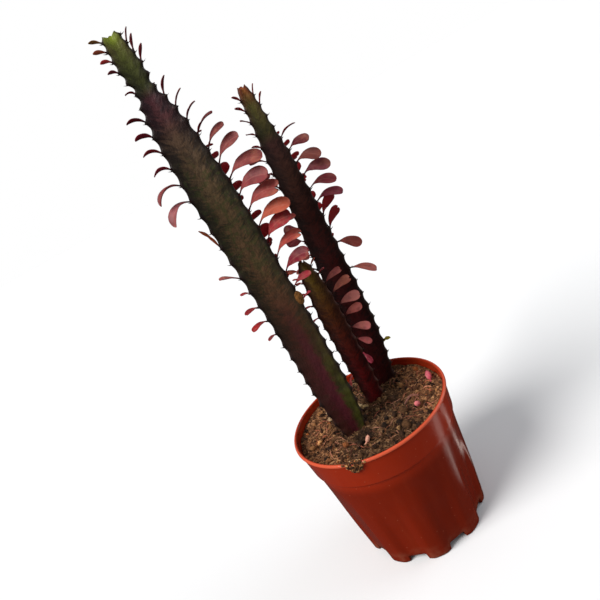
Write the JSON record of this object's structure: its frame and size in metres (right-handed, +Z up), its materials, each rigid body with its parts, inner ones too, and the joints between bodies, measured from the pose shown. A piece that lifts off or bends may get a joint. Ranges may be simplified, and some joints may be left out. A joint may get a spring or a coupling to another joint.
{
  "type": "potted african milk tree",
  "caption": "Upright ribbed succulent with small red leaves along its toothed ribs, in soil in a fluted terracotta-coloured plastic nursery pot.",
  "frame": {"origin": "on the pot's axis, on the plane that the pot's feet stand on", "axes": "+Z up along the pot's axis, -Y towards the picture's camera, +X to the right"},
  "size_m": [0.1498, 0.1512, 0.4976],
  "materials": {
    "pot_plastic": "gloss",
    "soil": "matte",
    "stem_flesh": "satin",
    "dry_leaf": "matte",
    "pebble": "matte"
  },
  "bodies": {
    "root": {"pot": "pot_plastic", "soil": "soil", "stem_tall": "stem_flesh", "stem_right": "stem_flesh", "stem_short": "stem_flesh", "fallen_leaf_right": "dry_leaf", "fallen_leaf_middle": "dry_leaf", "fallen_leaf_front": "dry_leaf", "pebble": "pebble"}
  },
  "joints": []
}
